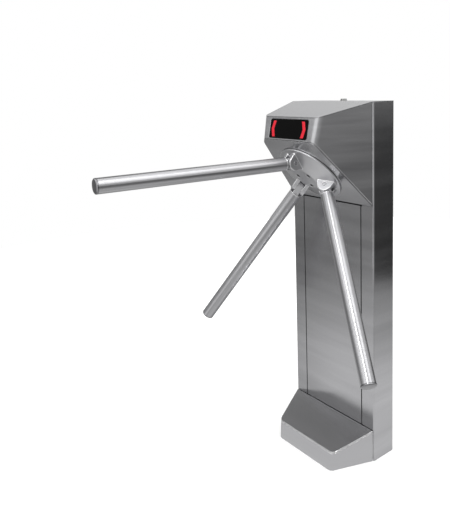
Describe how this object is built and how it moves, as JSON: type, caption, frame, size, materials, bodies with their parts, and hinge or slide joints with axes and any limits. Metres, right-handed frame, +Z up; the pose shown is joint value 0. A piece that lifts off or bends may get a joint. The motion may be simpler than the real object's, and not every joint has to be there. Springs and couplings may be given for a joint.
{
  "type": "tripod turnstile",
  "caption": "Floor-standing tripod turnstile: folded steel column with a wedge head, display window, tilted hub with folding tubular arms and a low foot.",
  "frame": {"origin": "centre of the four floor anchor holes, on the floor, in the plane of the column's front face", "axes": "-Y is the passage side, where the level arm points; +X is to the right seen from the passage; +Z is up"},
  "size_m": [0.7838, 0.7822, 1.056],
  "materials": {
    "brushed_steel": "brushed stainless sheet",
    "polished_tube": "polished stainless tube",
    "cast_hub": "satin cast metal",
    "cap_metal": "satin",
    "bolt_steel": "zinc-plated steel",
    "machined_steel": "machined steel",
    "plate_steel": "zinc-plated steel plate",
    "black_window": "gloss black acrylic",
    "red_light": "lit red light guide",
    "circuit_board": "solder mask",
    "black_plastic": "black plastic",
    "grey_plastic": "grey plastic",
    "rubber": "black rubber",
    "lock_metal": "nickel-plated",
    "motor_paint": "dark painted steel",
    "zinc_rail": "zinc-plated rail"
  },
  "bodies": {
    "cabinet": {"base_plate": "plate_steel", "column_shell": "brushed_steel", "service_panel": "brushed_steel", "foot_skirt": "brushed_steel", "foot_lid": "brushed_steel", "cable_grommet": "rubber", "head_shell": "brushed_steel", "hub_plate": "brushed_steel", "display_window": "black_window", "light_strips": "red_light", "display_board": "circuit_board", "board_spacers": "bolt_steel", "lock_keeper": "plate_steel", "mechanism_plate": "plate_steel", "plate_bolts": "bolt_steel", "pillars": "bolt_steel", "rear_plate": "plate_steel", "bearing_housing": "machined_steel", "housing_screws": "bolt_steel", "bearing_outer_rings": "machined_steel", "bearing_balls": "machined_steel", "encoder_sensor": "black_plastic", "gearmotor": "motor_paint", "motor_screws": "bolt_steel", "motor_brake": "black_plastic", "control_board": "circuit_board", "board_parts": "black_plastic", "board_posts": "bolt_steel", "power_supply": "motor_paint", "terminal_rail": "zinc_rail", "terminals": "grey_plastic"},
    "top_cover": {"lid": "brushed_steel", "lock_barrel": "lock_metal", "lock_nut": "bolt_steel"},
    "key_plug": {"lock_plug": "lock_metal", "lock_cam": "plate_steel"},
    "rotor": {"hub": "cast_hub", "hub_bolts": "bolt_steel", "pivot_pins": "bolt_steel", "main_shaft": "machined_steel", "bearing_inner_rings": "machined_steel", "drive_gear": "machined_steel", "drive_key": "machined_steel", "circlips": "bolt_steel", "encoder_disc": "machined_steel"},
    "motor_rotor": {"pinion": "machined_steel"},
    "arm_1": {"arm_knuckle_1": "cast_hub", "arm_tube_1": "polished_tube", "arm_cap_1": "cap_metal"},
    "arm_2": {"arm_knuckle_2": "cast_hub", "arm_tube_2": "polished_tube", "arm_cap_2": "cap_metal"},
    "arm_3": {"arm_knuckle_3": "cast_hub", "arm_tube_3": "polished_tube", "arm_cap_3": "cap_metal"}
  },
  "joints": [
    {"name": "hub_spin", "type": "hinge", "parent": "cabinet", "child": "rotor", "pos_m": [0, -0.08067, 0.84884], "axis": [0, -0.7403, -0.6723], "continuous": true},
    {"name": "motor_spin", "type": "hinge", "parent": "cabinet", "child": "motor_rotor", "pos_m": [0.0675, -0.08067, 0.84884], "axis": [0, -0.7403, -0.6723], "continuous": true},
    {"name": "lid_lift", "type": "slide", "parent": "cabinet", "child": "top_cover", "axis": [0, 0, 1], "range_m": [0, 0.06]},
    {"name": "lock_turn", "type": "hinge", "parent": "top_cover", "child": "key_plug", "pos_m": [0, 0.058, 1.05], "axis": [0, 0, -1], "range_deg": [0, 90]},
    {"name": "arm_1_fold", "type": "hinge", "parent": "rotor", "child": "arm_1", "pos_m": [-0.00805, -0.14457, 0.88202], "axis": [0.993, -0.0796, 0.0877], "range_deg": [0, 90]},
    {"name": "arm_2_fold", "type": "hinge", "parent": "rotor", "child": "arm_2", "pos_m": [-0.05445, -0.0718, 0.80187], "axis": [-0.599, -0.5383, 0.5928], "range_deg": [0, 42]},
    {"name": "arm_3_fold", "type": "hinge", "parent": "rotor", "child": "arm_3", "pos_m": [0.0625, -0.08117, 0.8122], "axis": [-0.3939, 0.6179, -0.6804], "range_deg": [0, 42]}
  ],
  "couplings": [
    {"joint": "motor_spin", "follows": "hub_spin", "ratio": -4}
  ]
}
